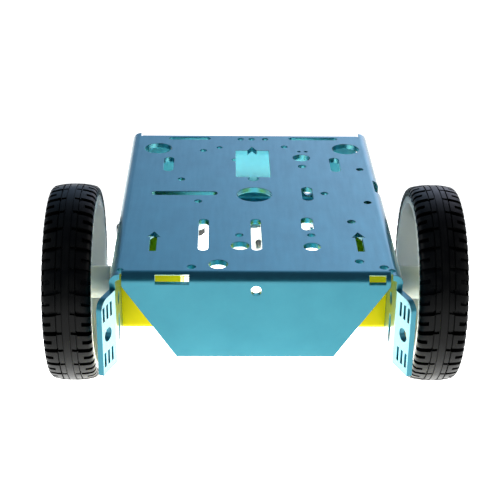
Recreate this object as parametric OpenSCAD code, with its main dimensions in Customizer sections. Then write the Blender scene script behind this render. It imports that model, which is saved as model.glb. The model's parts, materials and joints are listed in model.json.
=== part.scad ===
// Two wheel robot car: one bent aluminium chassis, two gear motors, two wheels
// and a ball caster. Millimetres. +Z is up and +Y is the driving direction.
// The origin is on the floor, under the middle of the car.

/* [Wheels] */
// Radius of the tyre
tyre_r = 32; // [28:0.5:36]
// Width of the tyre
tyre_w = 15.1; // [12:0.1:18]
// Overall width over both tyres
car_w = 130.4; // [128:0.2:140]
// Radius of the opening in the rim, on the chassis side
rim_open_r = 26.3; // [24:0.1:27]

/* [Chassis plate] */
// Thickness of the aluminium sheet
sheet_t = 1.8; // [1.5:0.1:2]
// Width over the side plates
plate_w = 88; // [86:1:90]
// From the wheel axle back to the face of the rear flap
plate_rear = 33.2; // [32:0.1:36]
// From the wheel axle forward to the face of the front plate
plate_front = 82.9; // [78:0.1:90]
// Height of the top face over the wheel axle
plate_top = 19.8; // [18:0.1:22]
// Height of the lower edge of the side plates over the axle
side_bottom = -10.7; // [-12:0.1:-9]
// Height of the lower edge of the rear flap over the axle
flap_bottom = -8.4; // [-10:0.1:-6]
// Height of the upper face of the front foot over the axle
foot_top = -6.2; // [-8:0.1:-5]

/* [Rear ears] */
// Angle by which the ears flare outward
ear_angle = 22.8; // [15:0.1:30]
// Length of the flat part of an ear
ear_len = 8.5; // [6:0.1:9]

/* [Gear motors] */
// Length of the gearbox
box_len = 37; // [36:0.5:38]
// Height of the gearbox
box_h = 22.5; // [22:0.1:23]
// Thickness of the gearbox
box_t = 18.8; // [18.5:0.1:19]
// Distance from the short end of the gearbox to the axle
axle_to_end = 11.3; // [11:0.1:11.5]
// Diameter of the output shaft
shaft_d = 5.4; // [5.3:0.1:5.5]
// Distance between the two flats of the output shaft
shaft_flat = 3.7; // [3.6:0.1:3.8]

/* [Caster] */
// Radius of the caster ball
ball_r = 7.5; // [6:0.5:8]
// From the wheel axle forward to the middle of the ball
caster_y = 68; // [67:0.5:70]

/* [Hidden] */

$fn = 64;
eps = 0.01;
big = 200;

// Sheet metal
bend_in = 1.2;
bend_out = bend_in + sheet_t;
half_w = plate_w / 2;
side_in = half_w - sheet_t;
relief = 0.5;
side_front = plate_front - 2.3;
flap_half_top = 40.3;
flap_half_bottom = 24.1;
foot_half = 34;
foot_len = 20.2;
foot_bottom = foot_top - sheet_t;
hole_m3 = 3.2;
hole_m4 = 4.2;

// Ears
ear_top = 14.3;
ear_bend_y = -plate_rear + 1.2;
ear_axis_x = half_w + bend_in;
ear_rear = ear_bend_y - bend_out * sin(ear_angle) - ear_len * cos(ear_angle);
ear_round = 3.5;
ear_slot_w = 1.2;
ear_slot_h = 4.8;
ear_slot_s = [2.5, 4.8, 7.1];
ear_row_z = [9.6, -5.8];
ear_hole_d = 4.4;

// Car frame: the axle's place over the floor, with the origin under the middle
axle_y = -(plate_front + ear_rear) / 2;
axle_z = tyre_r;

// Gearbox, for the right side: x0 is its inner face and x1 its outer face
box_x1 = side_in;
box_x0 = box_x1 - box_t;
split_x = (box_x0 + box_x1) / 2;
wall = 1.5;
box_y0 = -axle_to_end;
box_y1 = box_y0 + box_len;
mount_y = 20.3;
mount_z = 8.75;
bear_gap = 0.05;
lug_y = box_y1 - 6;
lug_l = 2.4;
lug_w = 1.8;

// Gear train: modules, tooth counts and places
out_m = 0.5;
out_teeth = 36;
idler_small = 9;
in_m = 0.375;
idler_large = 32;
crown_small = 8;
crown_teeth = 24;
pinion_teeth = 8;
idler_y = out_m * (out_teeth + idler_small) / 2;
crown_y = idler_y + in_m * (idler_large + crown_small) / 2;
pin_r = 0.6;
crown_mid_r = 4.2;
pinion_r = crown_mid_r * pinion_teeth / crown_teeth;
motor_x = split_x;
pinion_y = crown_y + crown_mid_r;

// Motor can
can_h = 20;
can_t = 15.4;
can_wall = 0.8;
can_y0 = box_y1;
can_y1 = can_y0 + 25;
cap_y1 = can_y1 + 2.8;

// Wheel, for the right side
wheel_x1 = car_w / 2;
wheel_x0 = wheel_x1 - tyre_w;
hub_x0 = 46.6;
web_x0 = wheel_x1 - 6;
web_x1 = wheel_x1 - 4;
rim_seat_r = 27.4;
shaft_x1 = side_in + 9;

// Caster heights under the foot
ball_z = -axle_z + ball_r;
flange_t = 2.5;
leg_end = -12.3;
caster_screw_x = 20;
caster_screw_len = 8.4;
key_hole = [3.2, -14.9];
nut_h = 2.4;
nut_r = 3.15;
cup_r = ball_r + 2.2;
ring_z = ball_z - 2.2;

// Colours
blue = [0.25, 0.55, 0.68];
yellow = [0.90, 0.83, 0.10];
black = [0.07, 0.07, 0.07];
white = [0.92, 0.93, 0.90];
steel = [0.72, 0.73, 0.75];
brass = [0.80, 0.65, 0.30];
grey = [0.35, 0.36, 0.38];
clear = [0.85, 0.90, 0.92];

// Places a child, drawn around the axle, in the car's frame
module in_car() {
    translate([0, axle_y, axle_z]) children();
}

// Draws a right-hand child on the side that is asked for: 1 right, -1 left
module on_side(side) {
    in_car() if (side > 0) children(); else mirror([1, 0, 0]) children();
}

// Cylinder along X from x0 to x1
module rod_x(r, x0, x1) {
    translate([x0, 0, 0]) rotate([0, 90, 0]) cylinder(h = x1 - x0, r = r);
}

// Cylinder along Y from y0 to y1
module rod_y(r, y0, y1) {
    translate([0, y0, 0]) rotate([-90, 0, 0]) cylinder(h = y1 - y0, r = r);
}

// Box given by its lowest and highest corners
module box(lo, hi) {
    translate(lo) cube(hi - lo);
}

// Extrudes a YZ outline along X from x0 to x1
module extrude_x(x0, x1) {
    translate([x0, 0, 0]) rotate([90, 0, 90]) linear_extrude(x1 - x0) children();
}

// Extrudes an XZ outline along Y from y0 to y1
module extrude_y(y0, y1) {
    translate([0, y1, 0]) rotate([90, 0, 0]) linear_extrude(y1 - y0) children();
}

// Points of an outline whose corners are rounded; each entry is [x, y, radius]
function corner_arc(a, b, c, r, steps = 6) =
    let (u = (a - b) / norm(a - b), v = (c - b) / norm(c - b))
    let (half = acos(u * v) / 2, d = r / tan(half))
    let (m = b + (u + v) / norm(u + v) * r / sin(half))
    let (p = b + u * d - m, q = b + v * d - m)
    let (sweep = 180 - 2 * half, turn = sign(p[0] * q[1] - p[1] * q[0]))
    [for (i = [0:steps]) let (t = turn * sweep * i / steps)
        m + [p[0] * cos(t) - p[1] * sin(t), p[0] * sin(t) + p[1] * cos(t)]];
function xy(p) = [p[0], p[1]];
function rounded(points) =
    let (n = len(points))
    [for (i = [0:n - 1]) each points[i][2] > 0
        ? corner_arc(xy(points[(i + n - 1) % n]), xy(points[i]), xy(points[(i + 1) % n]), points[i][2])
        : [xy(points[i])]];

// Rounded slot, drawn around its middle, with its long side along Y
module slot(w, l) {
    translate([0, (l - w) / 2]) circle(d = w);
    translate([0, (w - l) / 2]) circle(d = w);
    square([w, l - w], center = true);
}

// Gear outline with thin straight-sided teeth
function tooth(r_root, r_tip, pitch_a, turn) = [
    for (s = [[r_root, -0.21], [r_tip, -0.10], [r_tip, 0.10], [r_root, 0.21]])
        s[0] * [cos(turn + s[1] * pitch_a), sin(turn + s[1] * pitch_a)]];
module gear(m, teeth, phase = 0, dedendum = 1.05) {
    pitch_a = 360 / teeth;
    polygon([for (i = [0:teeth - 1])
        each tooth(m * (teeth / 2 - dedendum), m * (teeth / 2 + 0.85), pitch_a, phase + i * pitch_a)]);
}
module gear_x(m, teeth, x0, x1, phase = 0, dedendum = 1.05) {
    extrude_x(x0, x1) gear(m, teeth, phase, dedendum);
}

// ---------------------------------------------------------------- chassis

// Quarter bend in the first quadrant, around the origin
module quarter_bend() {
    intersection() {
        difference() {
            circle(r = bend_out);
            circle(r = bend_in);
        }
        square(big);
    }
}

// Top plate and both side plates, as one folded section
module fold_section() {
    flat = half_w - bend_out;
    translate([-flat, plate_top - sheet_t]) square([2 * flat, sheet_t]);
    for (s = [0, 1]) mirror([s, 0]) {
        translate([flat, plate_top - bend_out]) quarter_bend();
        translate([side_in, side_bottom]) square([sheet_t, plate_top - bend_out - side_bottom]);
    }
}

// What is cut off the side plates, seen from the side
module side_cutoff() {
    difference() {
        translate([-big / 2, -big]) square([big, big + plate_top - bend_out]);
        polygon(rounded([
            [ear_bend_y, big, 0],
            [ear_bend_y, side_bottom, 0],
            [side_front, side_bottom, 3],
            [side_front, big, 0]
        ]));
    }
}

// Holes in the side plates, seen from the side
module side_holes() {
    circle(r = 4.2);
    translate([idler_y, 0]) circle(r = 2.2);
    for (z = [-mount_z, mount_z]) translate([mount_y, z]) circle(d = hole_m3);
    for (y = [50, 66]) translate([y, 6]) circle(d = hole_m4);
    translate([-22, 6]) circle(d = hole_m4);
    translate([42, -2]) rotate(90) slot(hole_m4, 14);
    translate([-23, -4]) slot(hole_m4, 10);
}

// Rear bend and flap, seen from the side
module rear_section() {
    translate([-plate_rear + bend_out, plate_top - bend_out]) mirror([1, 0]) quarter_bend();
    translate([-plate_rear, flap_bottom]) square([sheet_t, plate_top - bend_out - flap_bottom]);
}

// Front bend, front plate, lower bend and foot, seen from the side
module front_section() {
    translate([plate_front - bend_out, plate_top - bend_out]) quarter_bend();
    translate([plate_front - sheet_t, foot_bottom + bend_out])
        square([sheet_t, plate_top - foot_bottom - 2 * bend_out]);
    translate([plate_front - bend_out, foot_bottom + bend_out]) mirror([0, 1]) quarter_bend();
    translate([plate_front - foot_len, foot_bottom]) square([foot_len - bend_out, sheet_t]);
}

// Cut-outs of the top plate
module servo_window() {
    translate([-5.6, 41]) square([12.2, 24.8]);
    polygon([[-1.3, 65.5], [0.5, 69.3], [2.3, 65.5]]);
    translate([-5.9, 56.7]) circle(r = 1.2);
    translate([0.5, 39.4]) circle(r = 2);
}
module arrow_window() {
    polygon([[-1.1, -17.3], [1.1, -17.3], [1.1, -7.4], [2.1, -7.4], [0, -3.4], [-2.1, -7.4], [-1.1, -7.4]]);
}
// Slots along Y: x, y, width, length
top_slots = [
    [-29.4, 52.5, 3.6, 13], [29.8, 52.5, 3.6, 13],
    [-16.2, -5.3, 3.2, 22.9], [0.5, -5.2, 3.3, 23], [17.1, 2.7, 3.9, 9.6], [18.5, 26.7, 3.8, 11.3]
];
// Slots along X: x, y, width, length
cross_slots = [[-23.1, 26.9, 3.2, 22.4], [-22.5, 77.6, 2.6, 15.6], [23.4, 77.6, 2.6, 18.2]];
// Round holes: x, y, diameter
top_holes = [
    [0.5, 26, 12], [-33.8, 67.5, 10], [34.8, 67.5, 10],
    [-11.4, -26.1, 5.9], [17.7, -13.9, 5.4], [-4.7, -13.4, 5.8], [18.1, 58.8, 6.3], [18, 50.8, 3],
    [-24.5, 38.9, 2.6], [-18.4, 20.3, 2.6], [-19.5, -28, 2.8], [-4.9, -5.8, 2.6], [17.9, -5.7, 2.6],
    [31.5, 4.5, 2.8], [31.5, -24.1, 2.8], [38.6, -28, 2.8], [38.3, 48.3, 2.6], [24.3, 27.1, 2.6],
    [38.3, 19.8, 2.6], [12.4, 69.4, 2.6], [-17.3, 65.5, 2.6], [-11.4, 68.5, 2.2],
    [-3.6, 77, 2.4], [0.5, 77, 2.4], [5.5, 77, 2.4], [17.6, 64.8, 1.4], [20.1, 64.8, 1.4]
];
module top_cutouts() {
    servo_window();
    for (x = [-31.8, 32.8]) translate([x, 0]) arrow_window();
    for (s = top_slots) translate([s[0], s[1]]) slot(s[2], s[3]);
    for (s = cross_slots) translate([s[0], s[1]]) rotate(90) slot(s[2], s[3]);
    for (h = top_holes) translate([h[0], h[1]]) circle(d = h[2]);
}

// Holes in the front plate, seen from the front
module front_holes() {
    for (x = [-16, 16]) translate([x, 7]) circle(d = hole_m4);
    for (x = [-22.9, 22.9]) translate([x, -2.7]) circle(d = hole_m4);
}

// Holes in the foot, seen from above
module foot_holes() {
    for (x = [-caster_screw_x, caster_screw_x]) translate([x, caster_y]) circle(d = hole_m3);
    for (x = [-27.5, 27.5]) translate([x, caster_y]) rotate(90) slot(hole_m3, 8);
}

// Openings cut through the rear bend, on both sides, and through the right-hand bend
module bend_openings() {
    rear_axis = [-plate_rear + bend_out, plate_top - bend_out];
    for (o = [[-30.3, -20.1], [33.8, 38.9]])
        extrude_x(o[0], o[1]) polygon([rear_axis + [-0.1, 1.15], rear_axis + [-2.26, 2.64],
            rear_axis + [-5, -0.3], rear_axis + [-0.8, -0.3]]);
    extrude_x(half_w - bend_out + 0.8, half_w + 1)
        polygon(rounded([[29, plate_top - 5.4, 1.2], [38.6, plate_top - 5.4, 1.2],
            [38.6, plate_top + 1, 0], [29, plate_top + 1, 0]]));
}

// Points of an arc round the ear's bend, from one angle to another
function ear_arc(r, a0, a1, steps = 8) = [for (i = [0:steps])
    let (a = 180 + a0 + (a1 - a0) * i / steps)
        [ear_axis_x + r * cos(a), ear_bend_y + r * sin(a)]];

// Side plate's rear end, bend and flared ear, seen from above, on the right side
module ear_section() {
    along = [sin(ear_angle), -cos(ear_angle)];
    outer = ear_arc(bend_in, 0, ear_angle);
    inner = ear_arc(bend_out, ear_angle, 0);
    polygon(concat([[half_w, ear_bend_y + 1]], outer, [outer[len(outer) - 1] + ear_len * along],
        [inner[0] + ear_len * along], inner, [[side_in, ear_bend_y + 1]]));
}

// One flared ear, on the right side
module ear() {
    height = ear_top - side_bottom;
    difference() {
        translate([0, 0, side_bottom]) linear_extrude(height) ear_section();
        translate([ear_axis_x, ear_bend_y, side_bottom]) rotate(180 + ear_angle)
            rotate([0, 90, 0]) linear_extrude(big / 10) ear_cutouts(height);
    }
}
module ear_cutouts(height) {
    for (s = ear_slot_s)
        for (z = ear_row_z) translate([side_bottom - z, s])
            square([ear_slot_h, ear_slot_w], center = true);
    translate([side_bottom - (ear_row_z[0] + ear_row_z[1]) / 2, ear_slot_s[1]]) circle(d = ear_hole_d);
    translate([-height, ear_len]) difference() {
        square(2 * ear_round, center = true);
        translate([ear_round, -ear_round]) circle(r = ear_round);
    }
}

module chassis_plate() {
    color(blue) in_car() {
        difference() {
            extrude_y(-plate_rear, plate_front) fold_section();
            for (s = [0, 1]) mirror([s, 0, 0])
                extrude_x(side_in - 0.5, half_w + 1) side_cutoff();
            box([-flap_half_top - relief, -plate_rear - 1, plate_top - sheet_t - 1],
                [flap_half_top + relief, -plate_rear + bend_out, plate_top + 1]);
            box([-flap_half_top - relief, plate_front - bend_out, plate_top - sheet_t - 1],
                [flap_half_top + relief, plate_front + 1, plate_top + 1]);
            for (x = [-1, 1]) translate([x * (flap_half_top + relief), -plate_rear + bend_out, 0])
                cylinder(h = big / 2, r = 1.1, center = true);
            translate([0, 0, plate_top - bend_out]) linear_extrude(big / 10) top_cutouts();
            extrude_x(-half_w - 1, half_w + 1) side_holes();
            bend_openings();
        }
        difference() {
            extrude_x(-flap_half_top, flap_half_top) rear_section();
            for (s = [0, 1]) mirror([s, 0, 0]) extrude_y(-plate_rear - 1, -plate_rear + bend_out)
                polygon([[flap_half_top, plate_top - bend_out - 1], [flap_half_bottom, flap_bottom - eps],
                    [big, flap_bottom - eps], [big, plate_top - bend_out - 1]]);
            translate([0, 0, 14.4]) rod_y(hole_m3 / 2, -plate_rear - 1, -plate_rear + bend_out);
            bend_openings();
        }
        difference() {
            extrude_x(-flap_half_top, flap_half_top) front_section();
            for (s = [0, 1]) mirror([s, 0, 0]) {
                box([foot_half + 2, 0, -big], [big, big, foot_bottom + bend_out + 1]);
                box([foot_half, 0, -big], [big, plate_front - bend_out, foot_top + 1]);
            }
            linear_extrude(2 * big, center = true) foot_holes();
            extrude_y(plate_front - bend_out, plate_front + 1) front_holes();
            translate([0, 0, plate_top - bend_out]) linear_extrude(big / 10) top_cutouts();
        }
        for (s = [0, 1]) mirror([s, 0, 0]) ear();
    }
}

// ---------------------------------------------------------------- gearbox

module box_block(x0, x1) {
    extrude_x(x0, x1) polygon(rounded([
        [box_y0, -box_h / 2, 2], [box_y1, -box_h / 2, 1], [box_y1, box_h / 2, 1], [box_y0, box_h / 2, 2]
    ]));
}
module box_room(x0, x1) {
    box([x0, box_y0 + wall, -box_h / 2 + wall], [x1, box_y1 - wall, box_h / 2 - wall]);
}
// Screw posts that both shells share, with the mounting holes through them
module box_posts(x0, x1) {
    for (z = [-mount_z, mount_z]) translate([0, mount_y, z]) rod_x(2.4, x0, x1);
    for (z = [-1, 1]) translate([0, box_y0 + 1.9, z * 8.6]) rod_x(1.9, x0, x1);
}
module box_through_holes() {
    for (z = [-mount_z, mount_z]) translate([0, mount_y, z]) rod_x(hole_m3 / 2, 0, big);
    translate([0, box_y0 - 2.6, 0]) rod_x(hole_m3 / 2, 0, big);
    translate([motor_x, 0, 0]) rod_y(3.05, box_y1 - wall - 1, box_y1 + 1);
}
module gearbox_half(x0, x1, room0, room1) {
    difference() {
        union() {
            difference() {
                box_block(x0, x1);
                box_room(room0, room1);
            }
            intersection() {
                box_posts(x0, x1);
                box_block(x0, x1);
            }
        }
        box_through_holes();
    }
}
module gearbox_outer_shape() {
    difference() {
        union() {
            gearbox_half(split_x, box_x1, split_x - 1, box_x1 - wall);
            translate([0, idler_y, 0]) rod_x(2, box_x1, box_x1 + 1.6);
            box([split_x, box_y0 - 5, -2.6], [split_x + 2.6, box_y0 + wall, 2.6]);
            for (s = [0, 1]) mirror([0, 0, s])
                box([split_x, lug_y, box_h / 2 - eps], [split_x + lug_w, lug_y + lug_l, box_h / 2 + 1.9]);
        }
        rod_x(shaft_d / 2 + bear_gap, box_x1 - wall - 1, box_x1 + 1);
        for (y = [idler_y, crown_y]) translate([0, y, 0]) rod_x(pin_r, split_x, box_x1 - 0.6);
        for (z = [-1, 1]) translate([0, box_y0 + 1.9, z * 8.6]) rod_x(0.8, split_x - 1, split_x + 7);
        translate([0, box_y0 - 2.6, 0]) rod_x(hole_m3 / 2, 0, big);
    }
}
module gearbox_inner_shape() {
    difference() {
        union() {
            gearbox_half(box_x0, split_x, box_x0 + wall, split_x + 1);
            rod_x(4.2, box_x0 + wall - eps, box_x0 + 3.4);
        }
        rod_x(shaft_d / 2 + bear_gap, box_x0 + wall - 0.6, split_x);
        for (y = [idler_y, crown_y]) translate([0, y, 0]) rod_x(pin_r, box_x0 + 0.6, split_x);
        for (z = [-1, 1]) translate([0, box_y0 + 1.9, z * 8.6]) {
            rod_x(1, box_x0 - 1, split_x + 1);
            rod_x(1.6, box_x0 - 1, box_x0 + 1.4);
        }
    }
}
module gearbox_outer(side) {
    color(yellow) on_side(side) gearbox_outer_shape();
}
module gearbox_inner(side) {
    color(yellow) on_side(side) gearbox_inner_shape();
}

// Shaft outline with two flats
module flatted() {
    intersection() {
        circle(d = shaft_d);
        square([2 * shaft_d, shaft_flat], center = true);
    }
}
module output_gear(side) {
    color(white) on_side(side) difference() {
        union() {
            gear_x(out_m, out_teeth, 36, 39.5);
            rod_x(shaft_d / 2, box_x0 + wall - 0.4, box_x1 + 1.4);
            rod_x(4.2, box_x0 + 3.7, 31);
            extrude_x(box_x1 + 1, shaft_x1) flatted();
        }
        rod_x(0.85, shaft_x1 - 8, shaft_x1 + 1);
    }
}
module idler_gear(side) {
    phase = 180 / idler_small;
    color(white) on_side(side) translate([0, idler_y, 0]) difference() {
        union() {
            gear_x(out_m, idler_small, 34, 39.9, 180 + phase);
            gear_x(in_m, idler_large, 32.1, 34.5);
        }
        rod_x(pin_r + bear_gap, 0, big);
    }
}
module crown_gear(side) {
    color(white) on_side(side) translate([0, crown_y, 0]) difference() {
        union() {
            gear_x(in_m, crown_small, 30, 34.9, 180 + 180 / crown_small, 1);
            rod_x(4.8, 28, 30.3);
            for (i = [0:crown_teeth - 1]) rotate([i * 360 / crown_teeth, 0, 0])
                box([30.2, 3.75, -0.16], [31.65, 4.7, 0.16]);
        }
        rod_x(pin_r + bear_gap, 0, big);
    }
}
module gear_pins(side) {
    color(steel) on_side(side)
        for (y = [idler_y, crown_y]) translate([0, y, 0]) rod_x(pin_r, box_x0 + 0.6, box_x1 - 0.6);
}
module gearbox_screws(side) {
    color(steel) on_side(side)
        for (z = [-1, 1]) translate([0, box_y0 + 1.9, z * 8.6]) difference() {
            union() {
                rod_x(0.8, box_x0 + 1.4, split_x + 6.5);
                rod_x(1.5, box_x0 + 0.2, box_x0 + 1.4);
            }
            box([box_x0, -1, -0.2], [box_x0 + 0.7, 1, 0.2]);
            box([box_x0, -0.2, -1], [box_x0 + 0.7, 0.2, 1]);
        }
}

// ---------------------------------------------------------------- motor

// Flattened round outline of the motor can, seen along Y
module can_outline(inset) {
    intersection() {
        circle(r = can_h / 2 - inset);
        square([can_t - 2 * inset, can_h], center = true);
    }
}
module at_motor() {
    translate([motor_x, 0, 0]) children();
}
module motor_can(side) {
    color(steel) on_side(side) at_motor() difference() {
        union() {
            extrude_y(can_y0, can_y1) can_outline(0);
            rod_y(3, box_y1 - wall, box_y1 + 0.5);
        }
        extrude_y(can_y0 + can_wall, can_y1 + 1) can_outline(can_wall);
        rod_y(1.05, box_y1 - wall - 1, can_y0 + 2);
    }
}
module motor_magnets(side) {
    color(grey) on_side(side) at_motor() for (s = [0, 1]) mirror([0, 0, s]) intersection() {
        difference() {
            rod_y(can_h / 2 - can_wall, can_y0 + 3, can_y1 - 5);
            rod_y(6.5, can_y0, can_y1);
        }
        box([-5.5, 0, 2.5], [5.5, big, big]);
    }
}
module motor_rotor(side) {
    color(brass) on_side(side) at_motor() {
        rod_y(1, pinion_y - 0.85, cap_y1 - 1);
        rotate([-90, 0, 0]) translate([0, 0, pinion_y - 0.8]) linear_extrude(1.6)
            gear(pinion_r * 2 / pinion_teeth, pinion_teeth, 180 + 180 / pinion_teeth, 0.9);
        difference() {
            rod_y(6, can_y0 + 4, can_y1 - 8);
            for (i = [0:2]) rotate([0, 60 + i * 120, 0])
                box([3.4, 0, -0.7], [big, big, 0.7]);
        }
        rod_y(2.4, can_y1 - 6.5, can_y1 - 1.5);
    }
}
module motor_end_cap(side) {
    color(white) on_side(side) at_motor() difference() {
        union() {
            extrude_y(can_y1, can_y1 + 1.6) can_outline(0.2);
            extrude_y(can_y1 - 1.2, can_y1) can_outline(can_wall);
            rod_y(3.2, can_y1, cap_y1);
        }
        rod_y(1.05, can_y1 - 3, cap_y1 - 0.8);
        rod_y(3, can_y1 - 2, can_y1 - 0.6);
        for (z = [-6.6, 6.6]) box([-1.2, can_y1 - 2, z - 0.2], [1.2, can_y1 + 2, z + 0.2]);
    }
}
// Brass tabs, each with an arm that carries its brush to the commutator
module motor_terminals(side) {
    color(brass) on_side(side) at_motor() for (s = [0, 1]) mirror([0, 0, s]) difference() {
        union() {
            box([-1.2, can_y1 - 4.5, 6.4], [1.2, can_y1 + 5, 6.8]);
            box([-1.2, can_y1 - 4.5, 2.75], [1.2, can_y1 - 3.9, 6.8]);
        }
        translate([0, can_y1 + 3.6, 0]) cylinder(h = big, r = 0.5);
    }
}
// Strap round the end of the motor, hooked over lugs on the gearbox
module motor_strap(side) {
    strap_w = 6;
    gap = 0.05;
    color(clear) on_side(side) at_motor() for (s = [0, 1]) mirror([0, 0, s]) {
        difference() {
            box([-strap_w / 2, box_y1 - 8, box_h / 2 + gap], [strap_w / 2, can_y1 + 1.7, box_h / 2 + 1]);
            box([-gap, lug_y - gap, 0], [lug_w + gap, lug_y + lug_l + gap, big]);
        }
        difference() {
            box([-strap_w / 2, can_y1 + 1.7, 3.6], [strap_w / 2, can_y1 + 2.6, box_h / 2 + 1]);
            box([-1.6, can_y1, 6], [1.6, can_y1 + 5, 7.2]);
        }
    }
}

// ---------------------------------------------------------------- fasteners

// Pan head screw along +X, with its head outside x = 0 and a cross in the head
module pan_screw(r, len, head_r, head_h) {
    difference() {
        union() {
            rod_x(r, -len, 0);
            rod_x(head_r, 0, head_h * 0.55);
            translate([head_h * 0.55, 0, 0]) rotate([0, 90, 0])
                cylinder(h = head_h * 0.45, r1 = head_r, r2 = head_r * 0.72);
        }
        box([head_h * 0.4, -head_r * 0.55, -0.3], [head_h + 1, head_r * 0.55, 0.3]);
        box([head_h * 0.4, -0.3, -head_r * 0.55], [head_h + 1, 0.3, head_r * 0.55]);
    }
}
module mount_screws(side) {
    color(steel) on_side(side)
        for (z = [-mount_z, mount_z]) translate([half_w, mount_y, z])
            pan_screw(1.5, half_w - box_x0 + 4, 2.8, 1.9);
}
module mount_nuts(side) {
    color(steel) on_side(side)
        for (z = [-mount_z, mount_z]) translate([0, mount_y, z]) difference() {
            translate([box_x0 - nut_h, 0, 0]) rotate([0, 90, 0]) cylinder(h = nut_h, r = nut_r, $fn = 6);
            rod_x(1.5, 0, big);
        }
}

// ---------------------------------------------------------------- wheels

module wheel_rim(side) {
    color(white) on_side(side) difference() {
        union() {
            rotate([0, 90, 0]) rotate_extrude($fn = 128) polygon([
                [rim_open_r, wheel_x0 + 0.2], [rim_seat_r + 0.9, wheel_x0 + 0.2],
                [rim_seat_r + 0.9, wheel_x0 + 1.2], [rim_seat_r, wheel_x0 + 1.2],
                [rim_seat_r, wheel_x1 - 1.2], [rim_seat_r + 0.9, wheel_x1 - 1.2],
                [rim_seat_r + 0.9, wheel_x1 - 0.2], [rim_open_r, wheel_x1 - 0.2],
                [rim_open_r - 1.2, web_x1], [rim_open_r - 1.2, web_x0]
            ]);
            rod_x(5.25, hub_x0, web_x1);
            rod_x(8, web_x0, web_x1 + 1.2);
            difference() {
                rod_x(rim_open_r - 0.9, web_x0, web_x1);
                for (i = [0:5]) rotate([i * 60, 0, 0]) extrude_x(web_x0 - 1, web_x1 + 1)
                    polygon(rounded([[10.5, -2.4, 1.4], [21.8, -5.8, 2.2], [21.8, 5.8, 2.2], [10.5, 2.4, 1.4]]));
            }
            for (i = [0:5]) rotate([30 + i * 60, 0, 0])
                box([web_x0 - 4, 4, -0.9], [web_x0 + eps, rim_open_r - 0.6, 0.9]);
        }
        extrude_x(hub_x0 - 1, shaft_x1 + 0.1) flatted();
        rod_x(1.15, hub_x0, big);
        rod_x(2.4, web_x1 - 1, big);
    }
}
// Tyre with two fine grooves round the crown and lugs on both shoulders
module tyre(side) {
    mid = (wheel_x0 + wheel_x1) / 2;
    color(black) on_side(side) difference() {
        rotate([0, 90, 0]) rotate_extrude($fn = 128) difference() {
            polygon([
                [rim_seat_r, wheel_x0 + 1.2], [rim_seat_r + 0.9, wheel_x0 + 1.2],
                [rim_seat_r + 0.9, wheel_x0 + 0.2], [tyre_r - 2.6, wheel_x0],
                [tyre_r - 1, wheel_x0 + 0.9], [tyre_r - 0.1, wheel_x0 + 2.6], [tyre_r, mid],
                [tyre_r - 0.1, wheel_x1 - 2.6], [tyre_r - 1, wheel_x1 - 0.9],
                [tyre_r - 2.6, wheel_x1], [rim_seat_r + 0.9, wheel_x1 - 0.2],
                [rim_seat_r + 0.9, wheel_x1 - 1.2], [rim_seat_r, wheel_x1 - 1.2]
            ]);
            for (x = [mid - 1.5, mid + 1.5]) translate([tyre_r - 0.7, x - 0.2]) square([1, 0.4]);
        }
        for (s = [-1, 1]) for (i = [0:35]) rotate([i * 10, 0, 0])
            translate([mid + s * tyre_w / 2, 0, tyre_r]) rotate([0, s * 12, 0])
                cube([7.4, 0.9, 1.7], center = true);
    }
}
module wheel_screw(side) {
    color(steel) on_side(side) translate([web_x1 - 1, 0, 0])
        pan_screw(0.85, web_x1 - 1 - shaft_x1 + 7.6, 2.2, 1.7);
}

// ---------------------------------------------------------------- caster

module at_caster() {
    in_car() translate([0, caster_y, 0]) children();
}
module caster_screws() {
    color(steel) at_caster() for (x = [-caster_screw_x, caster_screw_x])
        translate([x, 0, foot_top]) rotate([0, -90, 0])
            pan_screw(1.5, caster_screw_len, 2.7, 1.8);
}
module caster_nuts() {
    color(steel) at_caster() for (x = [-caster_screw_x, caster_screw_x])
        translate([x, 0, leg_end - nut_h]) difference() {
            cylinder(h = nut_h, r = nut_r, $fn = 6);
            translate([0, 0, -1]) cylinder(h = nut_h + 2, r = 1.5);
        }
}
module caster_housing() {
    color(white) at_caster() difference() {
        union() {
            translate([0, 0, foot_bottom - flange_t]) linear_extrude(flange_t)
                rotate(90) slot(8, 2 * (caster_screw_x + 4));
            translate([0, 0, ring_z]) cylinder(h = foot_bottom - ring_z, r = cup_r);
            for (x = [-caster_screw_x, caster_screw_x])
                translate([x, 0, leg_end]) cylinder(h = foot_bottom - leg_end, r = 3);
        }
        translate([0, 0, ball_z]) sphere(r = ball_r + 0.3, $fn = 96);
        translate([0, 0, ring_z - 1]) cylinder(h = ball_z - ring_z + 1, r = ball_r + 0.3);
        translate([key_hole[0], 0, key_hole[1]]) extrude_y(-big / 2, big / 2) slot(2.2, 3.9);
        for (x = [-caster_screw_x, caster_screw_x])
            translate([x, 0, foot_bottom - big / 2]) cylinder(h = big, r = hole_m3 / 2);
    }
}
module caster_ring() {
    color(white) at_caster() difference() {
        translate([0, 0, ring_z - 1.6]) cylinder(h = 1.6, r = cup_r);
        translate([0, 0, ball_z]) sphere(r = ball_r + 0.3, $fn = 96);
    }
}
module caster_ball() {
    color(steel) at_caster() translate([0, 0, ball_z]) sphere(r = ball_r, $fn = 96);
}

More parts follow.
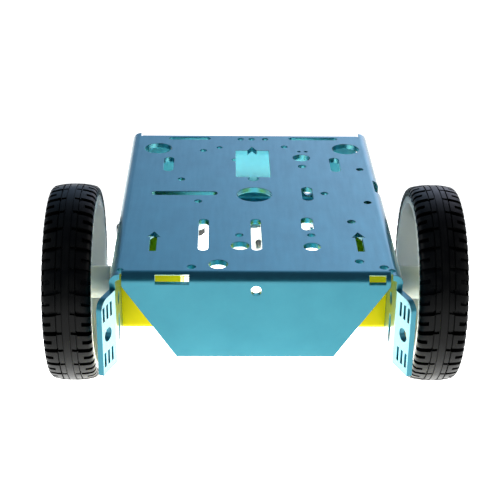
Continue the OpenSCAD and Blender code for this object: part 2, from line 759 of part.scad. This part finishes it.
chassis_plate();
gearbox_outer(-1);  // left_gearbox_outer
gearbox_outer(1);  // right_gearbox_outer
gearbox_inner(-1);  // left_gearbox_inner
gearbox_inner(1);  // right_gearbox_inner
output_gear(-1);  // left_output_gear
output_gear(1);  // right_output_gear
idler_gear(-1);  // left_idler_gear
idler_gear(1);  // right_idler_gear
crown_gear(-1);  // left_crown_gear
crown_gear(1);  // right_crown_gear
gear_pins(-1);  // left_gear_pins
gear_pins(1);  // right_gear_pins
gearbox_screws(-1);  // left_gearbox_screws
gearbox_screws(1);  // right_gearbox_screws
motor_can(-1);  // left_motor_can
motor_can(1);  // right_motor_can
motor_magnets(-1);  // left_motor_magnets
motor_magnets(1);  // right_motor_magnets
motor_rotor(-1);  // left_motor_rotor
motor_rotor(1);  // right_motor_rotor
motor_end_cap(-1);  // left_motor_end_cap
motor_end_cap(1);  // right_motor_end_cap
motor_terminals(-1);  // left_motor_terminals
motor_terminals(1);  // right_motor_terminals
motor_strap(-1);  // left_motor_strap
motor_strap(1);  // right_motor_strap
mount_screws(-1);  // left_mount_screws
mount_screws(1);  // right_mount_screws
mount_nuts(-1);  // left_mount_nuts
mount_nuts(1);  // right_mount_nuts
wheel_rim(-1);  // left_wheel_rim
wheel_rim(1);  // right_wheel_rim
tyre(-1);  // left_tyre
tyre(1);  // right_tyre
wheel_screw(-1);  // left_wheel_screw
wheel_screw(1);  // right_wheel_screw
caster_screws();
caster_nuts();
caster_housing();
caster_ball();
caster_ring();
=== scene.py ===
"""Two wheel robot car, seen from behind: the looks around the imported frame.

Everything is in metres in the frame's axes: +Z up, +Y the driving direction, +X to the right.
"""
import json
from math import cos, radians, sin, tau

import bmesh
import bpy
from mathutils import Matrix, Vector


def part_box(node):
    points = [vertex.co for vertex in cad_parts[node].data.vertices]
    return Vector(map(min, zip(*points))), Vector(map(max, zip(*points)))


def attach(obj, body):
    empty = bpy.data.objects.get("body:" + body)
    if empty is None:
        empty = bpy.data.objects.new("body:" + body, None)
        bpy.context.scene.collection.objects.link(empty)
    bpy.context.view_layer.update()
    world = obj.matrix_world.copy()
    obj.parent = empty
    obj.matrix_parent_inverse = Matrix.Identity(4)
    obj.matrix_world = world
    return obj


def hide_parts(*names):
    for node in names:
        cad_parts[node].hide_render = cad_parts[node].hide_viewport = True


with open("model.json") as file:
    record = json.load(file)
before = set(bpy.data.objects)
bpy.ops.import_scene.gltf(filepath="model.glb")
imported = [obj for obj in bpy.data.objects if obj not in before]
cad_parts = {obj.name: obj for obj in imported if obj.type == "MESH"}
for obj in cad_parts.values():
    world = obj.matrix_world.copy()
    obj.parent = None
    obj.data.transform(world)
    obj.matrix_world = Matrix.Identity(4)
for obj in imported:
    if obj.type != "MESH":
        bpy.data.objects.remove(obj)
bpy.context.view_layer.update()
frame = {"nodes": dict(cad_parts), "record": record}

MM = 0.001
NODES = frame["nodes"]

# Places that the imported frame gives
tyre_lo, tyre_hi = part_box("right_tyre")
AXLE_Y = (tyre_lo.y + tyre_hi.y) / 2
AXLE_Z = (tyre_lo.z + tyre_hi.z) / 2
TYRE_R = (tyre_hi.z - tyre_lo.z) / 2
TYRE_X0, TYRE_X1 = tyre_lo.x, tyre_hi.x


# ---------------------------------------------------------------- camera

def add_camera():
    """Camera behind the car, looking forward and down at the photograph's angle."""
    pitch, yaw, roll = radians(26.28), radians(1.33), radians(0.8)
    focal_px, frame_px, sensor_mm = 1296, 500, 36
    place = Vector((-0.00999, AXLE_Y - 0.37533, AXLE_Z + 0.19707))
    forward = Vector((sin(yaw) * cos(pitch), cos(yaw) * cos(pitch), -sin(pitch)))
    flat_right = Vector((cos(yaw), -sin(yaw), 0))
    flat_up = flat_right.cross(forward)
    right = cos(roll) * flat_right + sin(roll) * flat_up
    up = -sin(roll) * flat_right + cos(roll) * flat_up
    turn = Matrix((right, up, -forward)).transposed()
    data = bpy.data.cameras.new("camera")
    data.sensor_width = sensor_mm
    data.lens = focal_px / frame_px * sensor_mm
    data.clip_start = 0.01
    data.clip_end = 20
    camera = bpy.data.objects.new("camera", data)
    camera.matrix_world = Matrix.Translation(place) @ turn.to_4x4()
    bpy.context.scene.collection.objects.link(camera)
    bpy.context.scene.camera = camera


# ---------------------------------------------------------------- materials

FLOOR_Y = 1.5  # middle of the floor
GLOW_Y = 0.01  # middle of the glow, under the car
GLOW_MIDDLE, GLOW_EDGE = 3.7, 1.04
GLOW_FROM, GLOW_TO = 0.048, 0.112  # distances from the middle between which the glow falls off


class Nodes:
    """Small helper that builds one material's node tree."""

    def __init__(self, name):
        self.material = bpy.data.materials.new(name)
        self.material.use_nodes = True
        self.tree = self.material.node_tree
        self.shader = self.tree.nodes["Principled BSDF"]
        self.coords = self.tree.nodes.new("ShaderNodeTexCoord")

    def add(self, kind, **values):
        node = self.tree.nodes.new(kind)
        for key, value in values.items():
            if key in node.inputs:
                node.inputs[key].default_value = value
            else:
                setattr(node, key, value)
        return node

    def link(self, source, target):
        self.tree.links.new(source, target)

    def noise(self, scale, detail=4, roughness=0.55, stretch=None):
        """Noise in object space, with features about 1/scale metres wide."""
        node = self.add("ShaderNodeTexNoise", Scale=scale, Detail=detail, Roughness=roughness)
        if stretch:
            mapping = self.add("ShaderNodeMapping", Scale=stretch)
            self.link(self.coords.outputs["Object"], mapping.inputs["Vector"])
            self.link(mapping.outputs["Vector"], node.inputs["Vector"])
        else:
            self.link(self.coords.outputs["Object"], node.inputs["Vector"])
        return node.outputs["Fac"]

    def remap(self, value, low, high, from_low=0.3, from_high=0.7):
        node = self.add("ShaderNodeMapRange")
        node.inputs["From Min"].default_value = from_low
        node.inputs["From Max"].default_value = from_high
        node.inputs["To Min"].default_value = low
        node.inputs["To Max"].default_value = high
        self.link(value, node.inputs["Value"])
        return node.outputs["Result"]

    def ramp(self, value, stops):
        node = self.tree.nodes.new("ShaderNodeValToRGB")
        elements = node.color_ramp.elements
        while len(elements) < len(stops):
            elements.new(0.5)
        for element, (place, colour) in zip(elements, stops):
            element.position = place
            element.color = (*colour, 1)
        self.link(value, node.inputs["Fac"])
        return node.outputs["Color"]

    def bump(self, height, strength, distance, after=None):
        node = self.add("ShaderNodeBump", Strength=strength, Distance=distance)
        self.link(height, node.inputs["Height"])
        if after is not None:
            self.link(after, node.inputs["Normal"])
        return node.outputs["Normal"]

    def soft_edges(self, radius):
        """Normal that rounds sharp edges over radius metres."""
        return self.add("ShaderNodeBevel", samples=6, Radius=radius).outputs["Normal"]

    def set(self, **values):
        for key, value in values.items():
            self.shader.inputs[key.replace("_", " ")].default_value = value
        return self


def anodised_blue():
    """Bead-blasted aluminium under a blue anodic film, with a fine grain and soft mottling."""
    n = Nodes("anodised_blue")
    n.set(Metallic=1, Coat_Weight=1, Coat_Roughness=0.20, Coat_IOR=1.5)
    mottling = n.noise(90, 3)
    colour = n.ramp(mottling, [(0.25, (0.034, 0.280, 0.370)), (0.75, (0.046, 0.322, 0.415))])
    n.link(colour, n.shader.inputs["Base Color"])
    grain = n.noise(5200, 2, 0.7)
    streaks = n.noise(700, 4, 0.6, (1, 0.12, 1))
    n.link(n.remap(streaks, 0.33, 0.43), n.shader.inputs["Roughness"])
    fine = n.bump(grain, 0.30, 0.00004, n.soft_edges(0.0003))
    n.link(n.bump(streaks, 0.10, 0.00006, fine), n.shader.inputs["Normal"])
    return n.material


def moulded(name, low, high, roughness, subsurface=0.0, radius=0.002, gloss=0.5):
    """Moulded plastic: faint colour drift, a fine eroded texture and a soft sheen."""
    n = Nodes(name)
    n.set(Subsurface_Weight=subsurface, Subsurface_Scale=radius, Specular_IOR_Level=gloss)
    n.shader.inputs["Subsurface Radius"].default_value = (1.0, 0.9, 0.7)
    n.link(n.ramp(n.noise(60, 3), [(0.3, low), (0.7, high)]), n.shader.inputs["Base Color"])
    n.link(n.remap(n.noise(400, 3), roughness - 0.05, roughness + 0.06), n.shader.inputs["Roughness"])
    grain = n.noise(2600, 3, 0.65)
    n.link(n.bump(grain, 0.12, 0.00005, n.soft_edges(0.00025)), n.shader.inputs["Normal"])
    return n.material


def metal(name, low, high, roughness, scale=1500, stretch=None, bump=0.15):
    """Bare metal with tool marks or plating grain."""
    n = Nodes(name)
    n.set(Metallic=1)
    marks = n.noise(scale, 4, 0.6, stretch)
    n.link(n.ramp(marks, [(0.3, low), (0.7, high)]), n.shader.inputs["Base Color"])
    n.link(n.remap(marks, roughness - 0.06, roughness + 0.08), n.shader.inputs["Roughness"])
    n.link(n.bump(marks, bump, 0.00004, n.soft_edges(0.00015)), n.shader.inputs["Normal"])
    return n.material


def tyre_rubber():
    """Black rubber, dusty where it rolls, with a matt moulded skin."""
    n = Nodes("tyre_rubber")
    n.set(Specular_IOR_Level=0.20)
    dust = n.noise(260, 5, 0.6)
    n.link(n.ramp(dust, [(0.35, (0.0015, 0.0015, 0.0012)), (0.75, (0.005, 0.005, 0.004))]),
           n.shader.inputs["Base Color"])
    n.link(n.remap(dust, 0.28, 0.44), n.shader.inputs["Roughness"])
    n.link(n.bump(n.noise(2400, 4, 0.7), 0.30, 0.00006), n.shader.inputs["Normal"])
    return n.material


def clear_plastic():
    """Thin clear strap."""
    n = Nodes("clear_plastic")
    n.set(Transmission_Weight=0.85, IOR=1.45)
    n.link(n.ramp(n.noise(80, 2), [(0.3, (0.86, 0.91, 0.92)), (0.7, (0.93, 0.96, 0.96))]),
           n.shader.inputs["Base Color"])
    n.link(n.remap(n.noise(500, 3), 0.10, 0.20), n.shader.inputs["Roughness"])
    return n.material


def floor_material():
    """White light table: every part of it glows, most of all the middle under the car."""
    n = Nodes("floor_paper")
    n.link(n.ramp(n.noise(6, 2), [(0.3, (0.80, 0.80, 0.80)), (0.7, (0.82, 0.82, 0.82))]),
           n.shader.inputs["Base Color"])
    n.set(Roughness=0.9, Specular_IOR_Level=0.1)
    n.shader.inputs["Emission Color"].default_value = (1, 1, 0.98, 1)
    place = n.add("ShaderNodeMapping", Location=(0, FLOOR_Y - GLOW_Y, 0))
    n.link(n.coords.outputs["Object"], place.inputs["Vector"])
    distance = n.add("ShaderNodeVectorMath", operation="LENGTH")
    n.link(place.outputs["Vector"], distance.inputs[0])
    glow = n.remap(distance.outputs["Value"], GLOW_MIDDLE, GLOW_EDGE, GLOW_FROM, GLOW_TO)
    n.link(glow, n.shader.inputs["Emission Strength"])
    return n.material


MATERIALS = {
    "anodised_blue": anodised_blue(),
    "yellow_plastic": moulded("yellow_plastic", (0.74, 0.61, 0.0), (0.82, 0.69, 0.0), 0.36, 0.10, gloss=0.08),
    "gear_nylon": moulded("gear_nylon", (0.80, 0.80, 0.76), (0.86, 0.86, 0.82), 0.45, 0.2),
    "steel": metal("steel", (0.42, 0.43, 0.45), (0.56, 0.57, 0.59), 0.34, 900, (1, 0.1, 1)),
    "zinc_steel": metal("zinc_steel", (0.50, 0.52, 0.55), (0.66, 0.67, 0.69), 0.26),
    "black_steel": metal("black_steel", (0.035, 0.035, 0.034), (0.06, 0.06, 0.058), 0.42),
    "magnet": moulded("magnet", (0.03, 0.03, 0.034), (0.05, 0.05, 0.055), 0.55),
    "brass": metal("brass", (0.60, 0.40, 0.14), (0.72, 0.52, 0.22), 0.28),
    "white_plastic": moulded("white_plastic", (0.74, 0.76, 0.74), (0.80, 0.82, 0.80), 0.42, 0.25),
    "clear_plastic": clear_plastic(),
    "rim_plastic": moulded("rim_plastic", (0.74, 0.80, 0.69), (0.80, 0.86, 0.75), 0.34, 1.0, 0.025),
    "tyre_rubber": tyre_rubber(),
    "ball_steel": metal("ball_steel", (0.62, 0.62, 0.64), (0.72, 0.72, 0.74), 0.12, 600, None, 0.03),
}


def dress_cad_nodes():
    """Gives every CAD node its material by the record's slot."""
    for row in frame["record"]["subparts"]:
        slots = NODES[row["node"]].data.materials
        slots.clear()
        slots.append(MATERIALS[row["material_slot"]])


# ---------------------------------------------------------------- tyres

PITCHES = 30
CROWN_HALF = 7.55 * MM
TREAD_LEAN = 0.15  # shift round the tyre for each metre across it
TREAD_TURN = {"left": -2.6, "right": -1.6}  # degrees from level with the axle to the first long groove


def tread_depth(x, u, pitch):
    """Depth of the tread at x across the crown and u along one pitch."""
    a = abs(x)

    def near(centre, half):
        d = (u - centre + pitch / 2) % pitch - pitch / 2
        return abs(d) < half

    if a > 2.95 * MM and near(0, 0.78 * MM):
        return 1.9 * MM
    if a > 4.7 * MM and near(pitch / 2, 0.68 * MM):
        return 1.6 * MM
    if 1.35 * MM < a < 2.75 * MM and near(0, 0.5 * MM):
        return 0.8 * MM
    return 0


def tread_columns(pitch):
    """Places along one pitch where the tread's height may change, in pairs round each edge."""
    soft = 0.07 * MM
    edges = []
    for centre, halves in ((0, (0.5, 0.78)), (pitch / 2, (0.68,))):
        for half in halves:
            edges += [(centre - half * MM) % pitch, (centre + half * MM) % pitch]
    places = set()
    for edge in edges:
        places.add(round((edge - soft / 2) % pitch, 7))
        places.add(round((edge + soft / 2) % pitch, 7))
    for i in range(8):
        places.add(round(pitch * (i + 0.5) / 8, 7))
    return sorted(places)


def tread_rows():
    """Places across the crown, from inside to outside, where the height may change."""
    # Millimetres from the middle of the crown, on either side of each edge of the tread
    half = [0, 0.55, 0.95, 1.0, 1.3, 1.35, 1.4, 2.0, 2.7, 2.78, 2.86, 3.12, 3.2, 3.8, 4.66, 4.74, 5.4, 6.0, 6.5]
    return [-h * MM for h in reversed(half[1:])] + [h * MM for h in half]


def crown_radius(x):
    """Radius of the crown at x, domed towards the shoulders."""
    return TYRE_R - 1.15 * MM * (abs(x) / CROWN_HALF) ** 2.4


def ring_groove(x):
    """Depth of the fine grooves that run round the crown."""
    a = abs(x)
    if 0.98 * MM < a < 1.32 * MM:
        return 0.35 * MM
    if 2.82 * MM < a < 3.15 * MM:
        return 0.55 * MM
    return 0


# Shoulder and sidewall rows: mm from the middle of the crown, radius in mm, share of the tread's depth
WALL = [(6.95, 30.85, 1.0), (7.3, 30.5, 1.0), (7.5, 30.0, 0.9), (7.55, 29.5, 0.5), (7.55, 29.1, 0.0),
        (7.4, 29.4, 0), (7.28, 28.9, 0), (7.3, 28.55, 0), (7.0, 28.4, 0), (6.4, 28.3, 0), (6.3, 27.5, 0)]


def tyre_rows():
    """Rows across the tyre as (x, radius, share of the depth); a crown row has no radius of its own."""
    inner = [(-x * MM, radius * MM, share) for x, radius, share in reversed(WALL)]
    outer = [(x * MM, radius * MM, share) for x, radius, share in WALL]
    return inner + [(x, None, 1) for x in tread_rows()] + outer


def build_tyre(name):
    """Tyre with a lugged tread, for the wheel on the named side."""
    pitch = tau * TYRE_R / PITCHES
    columns = [p * pitch + c for p in range(PITCHES) for c in tread_columns(pitch)]
    middle = (TYRE_X0 + TYRE_X1) / 2 * (1 if name == "right" else -1)
    turn = radians(TREAD_TURN[name])
    mesh = bmesh.new()
    rings = []
    for x, wall_radius, share in tyre_rows():
        ring = []
        lean = TREAD_LEAN * (4 * MM - max(abs(x), 1.35 * MM))
        for u in columns:
            if wall_radius is None:
                radius = crown_radius(x) - max(tread_depth(x, u, pitch), ring_groove(x))
            else:
                radius = wall_radius - share * tread_depth(CROWN_HALF, u, pitch)
            angle = turn + (u + lean) / TYRE_R
            place = (middle + x, AXLE_Y - radius * cos(angle), AXLE_Z + radius * sin(angle))
            ring.append(mesh.verts.new(place))
        rings.append(ring)
    count = len(columns)
    for low, high in zip(rings, rings[1:] + rings[:1]):
        for i in range(count):
            j = (i + 1) % count
            mesh.faces.new((low[i], low[j], high[j], high[i]))
    bmesh.ops.recalc_face_normals(mesh, faces=mesh.faces)
    data = bpy.data.meshes.new(name + "_tyre_tread")
    mesh.to_mesh(data)
    mesh.free()
    piece = bpy.data.objects.new(name + "_tyre_tread", data)
    bpy.context.scene.collection.objects.link(piece)
    for face in data.polygons:
        face.use_smooth = True
    data.set_sharp_from_angle(angle=radians(32))
    data.materials.append(MATERIALS["tyre_rubber"])
    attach(piece, name + "_wheel")
    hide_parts(name + "_tyre")


# ---------------------------------------------------------------- studio

ROOM_LIGHT = 0.09
LAMP_LIGHT = 0.9
LAMP_COLOUR = (1.0, 1.0, 0.94)
WALL_LEFT, WALL_RIGHT = (0.62, 0.93, 1.35), (0.98, 1.01, 1.26)


def add_floor():
    mesh = bmesh.new()
    bmesh.ops.create_grid(mesh, x_segments=24, y_segments=24, size=4)
    data = bpy.data.meshes.new("floor")
    mesh.to_mesh(data)
    mesh.free()
    floor = bpy.data.objects.new("floor", data)
    floor.location = (0, FLOOR_Y, 0)
    bpy.context.scene.collection.objects.link(floor)
    data.materials.append(floor_material())


def add_studio():
    """Dark room with one soft wall in front of the car and a soft lamp high up on either side."""
    world = bpy.data.worlds.new("studio")
    bpy.context.scene.world = world
    world.use_nodes = True
    tree = world.node_tree
    background = tree.nodes["Background"]
    coords = tree.nodes.new("ShaderNodeTexCoord")
    axes = tree.nodes.new("ShaderNodeSeparateXYZ")
    tree.links.new(coords.outputs["Generated"], axes.inputs["Vector"])
    x, y, z = axes.outputs

    def ramp(value, low, high, to_low, to_high):
        node = tree.nodes.new("ShaderNodeMapRange")
        node.interpolation_type = "SMOOTHSTEP"
        for name, number in (("From Min", low), ("From Max", high), ("To Min", to_low), ("To Max", to_high)):
            node.inputs[name].default_value = number
        tree.links.new(value, node.inputs["Value"])
        return node.outputs["Result"]

    def combine(kind, a, b):
        node = tree.nodes.new("ShaderNodeMath")
        node.operation = kind
        for place, value in enumerate((a, b)):
            if isinstance(value, (int, float)):
                node.inputs[place].default_value = value
            else:
                tree.links.new(value, node.inputs[place])
        return node.outputs["Value"]

    def blend(a, b, share):
        node = tree.nodes.new("ShaderNodeMix")
        node.data_type = "RGBA"
        for place, value in ((6, a), (7, b)):
            if isinstance(value, tuple):
                node.inputs[place].default_value = (*value, 1)
            else:
                tree.links.new(value, node.inputs[place])
        tree.links.new(share, node.inputs[0])
        return node.outputs[2]

    aside = combine("ABSOLUTE", x, 0)
    wall = combine("MULTIPLY", ramp(y, 0.25, 0.7, 0, 1), ramp(z, 0.55, 0.85, 1, 0))
    wall = combine("MULTIPLY", wall, ramp(x, -0.20, 0.36, 0.34, 1.32))
    wall = combine("MULTIPLY", wall, ramp(aside, 0.36, 0.60, 1, 0))
    lamps = combine("MULTIPLY", ramp(aside, 0.55, 0.80, 0, 1), ramp(z, 0.25, 0.50, 0, 1))
    light = combine("ADD", wall, combine("MULTIPLY", lamps, LAMP_LIGHT))
    tree.links.new(combine("ADD", light, ROOM_LIGHT), background.inputs["Strength"])
    tint = blend(WALL_LEFT, WALL_RIGHT, ramp(x, -0.20, 0.36, 0, 1))
    tree.links.new(blend(tint, LAMP_COLOUR, lamps), background.inputs["Color"])


add_camera()
dress_cad_nodes()
for side in ("left", "right"):
    build_tyre(side)
add_floor()
add_studio()
bpy.context.scene.view_settings.view_transform = "Standard"
